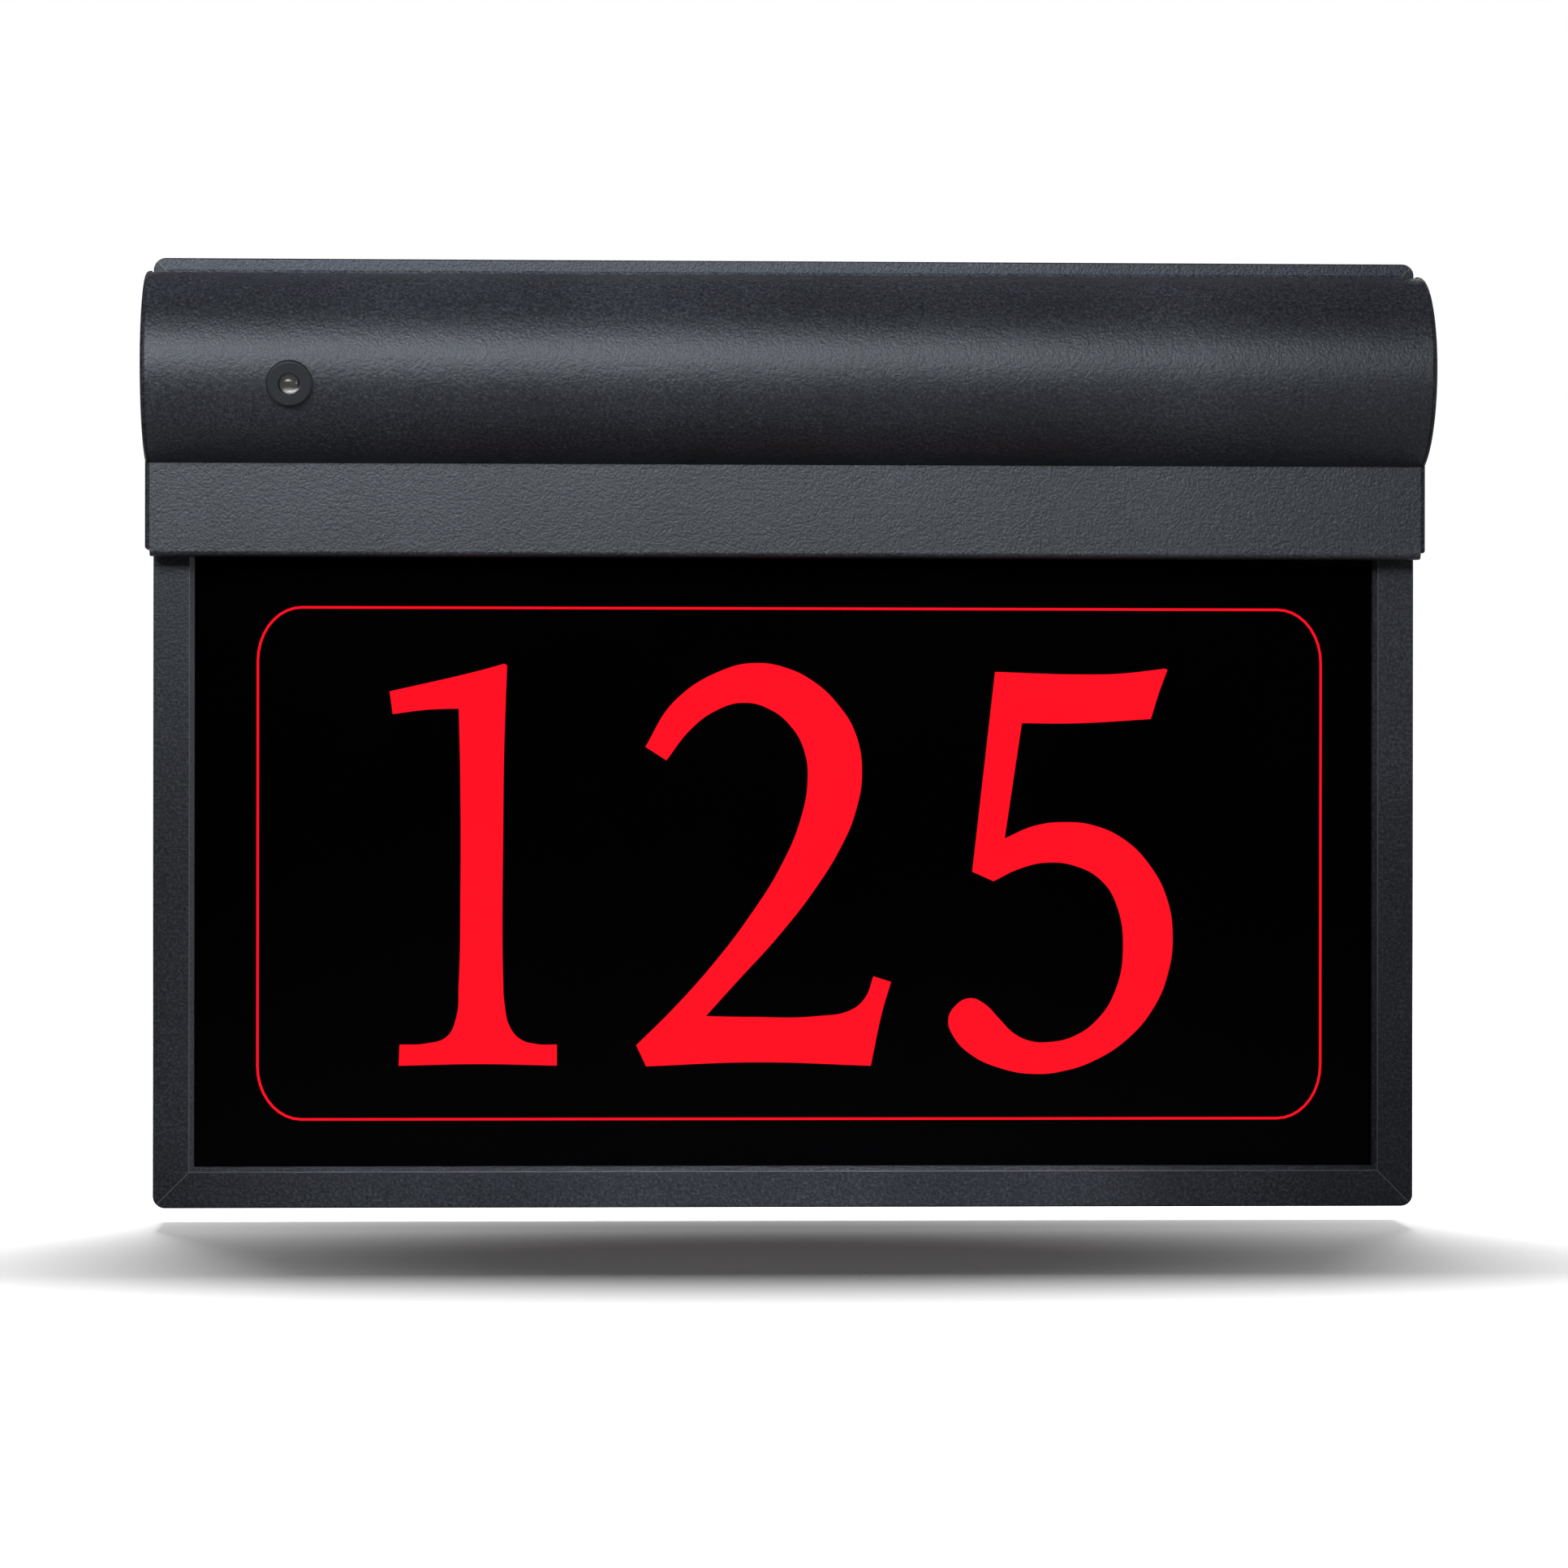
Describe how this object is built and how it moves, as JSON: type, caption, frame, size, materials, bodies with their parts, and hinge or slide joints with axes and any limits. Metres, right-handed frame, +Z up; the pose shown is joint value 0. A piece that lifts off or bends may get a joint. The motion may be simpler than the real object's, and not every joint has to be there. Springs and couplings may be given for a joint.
{
  "type": "illuminated house number sign",
  "caption": "Wall-mounted, edge-lit house number sign: box frame with a masked number panel under a hinged half-round hood with a dusk sensor.",
  "frame": {"origin": "middle of the flat back, which rests on the wall", "axes": "+X to the reader's right along the sign, +Y towards the wall, +Z up"},
  "size_m": [0.319, 0.0524, 0.237],
  "materials": {
    "textured_coat": "aluminium with a fine textured charcoal powder coat",
    "bare_aluminium": "mill finish",
    "stainless_steel": "satin",
    "spring_steel": "satin",
    "dark_screw": "blackened",
    "brass_screw": "bright",
    "black_foam": "closed-cell foam, matt",
    "black_rubber": "matt",
    "black_mask": "semi-gloss film",
    "red_acrylic": "translucent red, lit from behind",
    "opal_acrylic": "opal",
    "clear_acrylic": "polished edges",
    "white_reflector": "matt white",
    "circuit_board": "solder resist, satin",
    "led_package": "phosphor window",
    "driver_plastic": "moulded, matt",
    "terminal_plastic": "moulded, satin",
    "lead_sheath": "flexible sheath, satin",
    "clear_lens": "clear moulded dome",
    "sensor_metal": "dull"
  },
  "bodies": {
    "sign_box": {"frame_left_rail": "textured_coat", "frame_right_rail": "textured_coat", "frame_bottom_rail": "textured_coat", "frame_top_rail": "textured_coat", "corner_keys": "bare_aluminium", "back_panel": "bare_aluminium", "back_panel_screws": "stainless_steel", "panel_gasket": "black_foam", "mask_film": "black_mask", "number_panel": "red_acrylic", "diffuser_sheet": "opal_acrylic", "light_guide": "clear_acrylic", "reflector_sheet": "white_reflector", "backing_plate": "bare_aluminium", "led_channel": "bare_aluminium", "led_board": "circuit_board", "led_chips": "led_package", "channel_brackets": "bare_aluminium", "channel_screws": "stainless_steel", "snap_clips": "spring_steel", "clip_screws": "stainless_steel", "driver_case": "driver_plastic", "driver_cover": "driver_plastic", "driver_screws": "stainless_steel", "terminal_block": "terminal_plastic", "terminal_screws": "brass_screw", "terminal_mount_screw": "stainless_steel", "cable_grommet": "black_rubber", "supply_leads": "lead_sheath", "led_lead": "lead_sheath", "sensor_lead": "lead_sheath"},
    "hood": {"hood_shell": "textured_coat", "left_end_cap": "textured_coat", "right_end_cap": "textured_coat", "end_cap_screws": "dark_screw", "hood_seal": "black_rubber", "sensor_grommet": "black_rubber", "sensor_lens": "clear_lens", "sensor_cell": "sensor_metal", "sensor_holder": "driver_plastic", "sensor_board": "circuit_board", "sensor_board_screws": "stainless_steel"}
  },
  "joints": [
    {"name": "hood_hinge", "type": "hinge", "parent": "sign_box", "child": "hood", "pos_m": [0, -0.0292, 0.1126], "axis": [-1, 0, 0], "range_deg": [0, 85], "deforming": ["sensor_lead"]}
  ]
}
